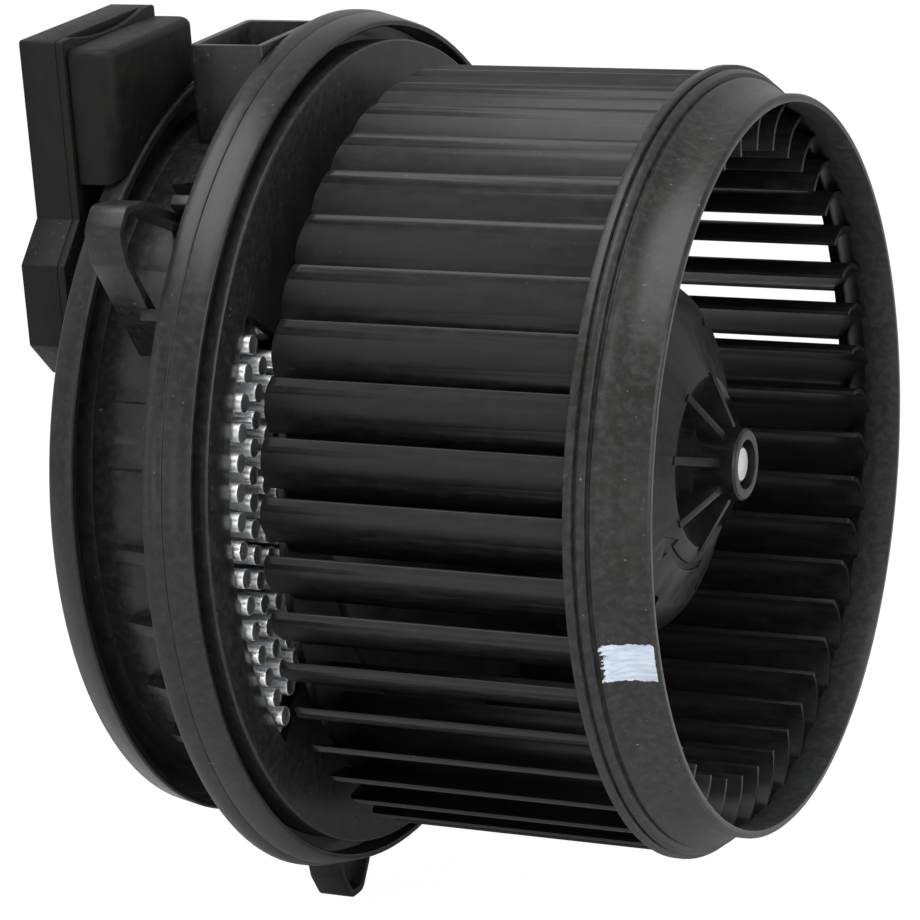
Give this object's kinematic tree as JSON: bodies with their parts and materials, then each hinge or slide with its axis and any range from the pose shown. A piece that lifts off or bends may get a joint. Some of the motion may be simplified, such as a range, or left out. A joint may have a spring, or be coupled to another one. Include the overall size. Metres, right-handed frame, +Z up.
{
  "type": "blower motor wheel",
  "caption": "Brushless blower motor with a squirrel-cage wheel on a round sealing flange, with drum housing, pin heat sink, controller case and bayonet loops.",
  "frame": {"origin": "on the rotor axis, in the plane of the flange rim's front edge", "axes": "+X along the rotor axis towards the wheel's open inlet, +Z up, the heat sink window faces -Y"},
  "size_m": [0.1454, 0.1964, 0.204],
  "materials": {
    "housing_plastic": "satin moulded, dusty",
    "wheel_plastic": "satin moulded",
    "controller_plastic": "fine grain",
    "gasket_rubber": "matt",
    "aluminium": "die cast, bright",
    "cast_aluminium": "cast",
    "screw_steel": "zinc plated",
    "shaft_steel": "ground",
    "cup_steel": "plated",
    "bearing_steel": "polished",
    "lamination_steel": "stacked sheet",
    "copper_wire": "enamelled wire",
    "magnet_ferrite": "sintered",
    "board_laminate": "solder mask",
    "package_plastic": "moulded package",
    "capacitor_sleeve": "sleeved can",
    "carrier_plastic": "natural nylon",
    "tinned_brass": "tin plated"
  },
  "bodies": {
    "housing": {"mounting_flange": "housing_plastic", "motor_housing": "housing_plastic", "housing_rim": "housing_plastic", "bayonet_loops": "housing_plastic", "harness_socket": "housing_plastic", "rear_cover": "housing_plastic", "housing_gasket": "gasket_rubber", "heat_sink": "aluminium", "controller_tub": "controller_plastic", "controller_lid": "controller_plastic", "module_cap": "controller_plastic", "cap_tabs": "controller_plastic", "controller_screws": "screw_steel", "control_board": "board_laminate", "control_relays": "package_plastic", "terminal_carrier": "carrier_plastic", "harness_terminals": "tinned_brass", "circuit_board": "board_laminate", "power_transistors": "package_plastic", "capacitors": "capacitor_sleeve", "filter_choke": "copper_wire", "stator_support": "cast_aluminium", "stator_core": "lamination_steel", "stator_windings": "copper_wire", "winding_insulators": "carrier_plastic", "bearing_outer_races": "bearing_steel", "bearing_shields": "bearing_steel", "preload_washer": "bearing_steel", "motor_screws": "screw_steel", "board_screws": "screw_steel", "cover_screws": "screw_steel"},
    "rotor": {"wheel_hub": "wheel_plastic", "hub_flare": "wheel_plastic", "wheel_disc": "wheel_plastic", "wheel_blades": "wheel_plastic", "inlet_ring": "wheel_plastic", "hub_bush": "shaft_steel", "motor_shaft": "shaft_steel", "shaft_clip": "screw_steel", "rotor_cup": "cup_steel", "rotor_magnets": "magnet_ferrite", "bearing_inner_races": "bearing_steel"},
    "ball_sets": {"bearing_balls": "bearing_steel", "bearing_cages": "carrier_plastic"}
  },
  "joints": [
    {"name": "rotor_spin", "type": "hinge", "parent": "housing", "child": "rotor", "pos_m": [0, 0, 0], "axis": [1, 0, 0], "continuous": true},
    {"name": "ball_set_spin", "type": "hinge", "parent": "housing", "child": "ball_sets", "pos_m": [0, 0, 0], "axis": [1, 0, 0], "continuous": true}
  ],
  "couplings": [
    {"joint": "ball_set_spin", "follows": "rotor_spin", "ratio": 0.4167}
  ]
}
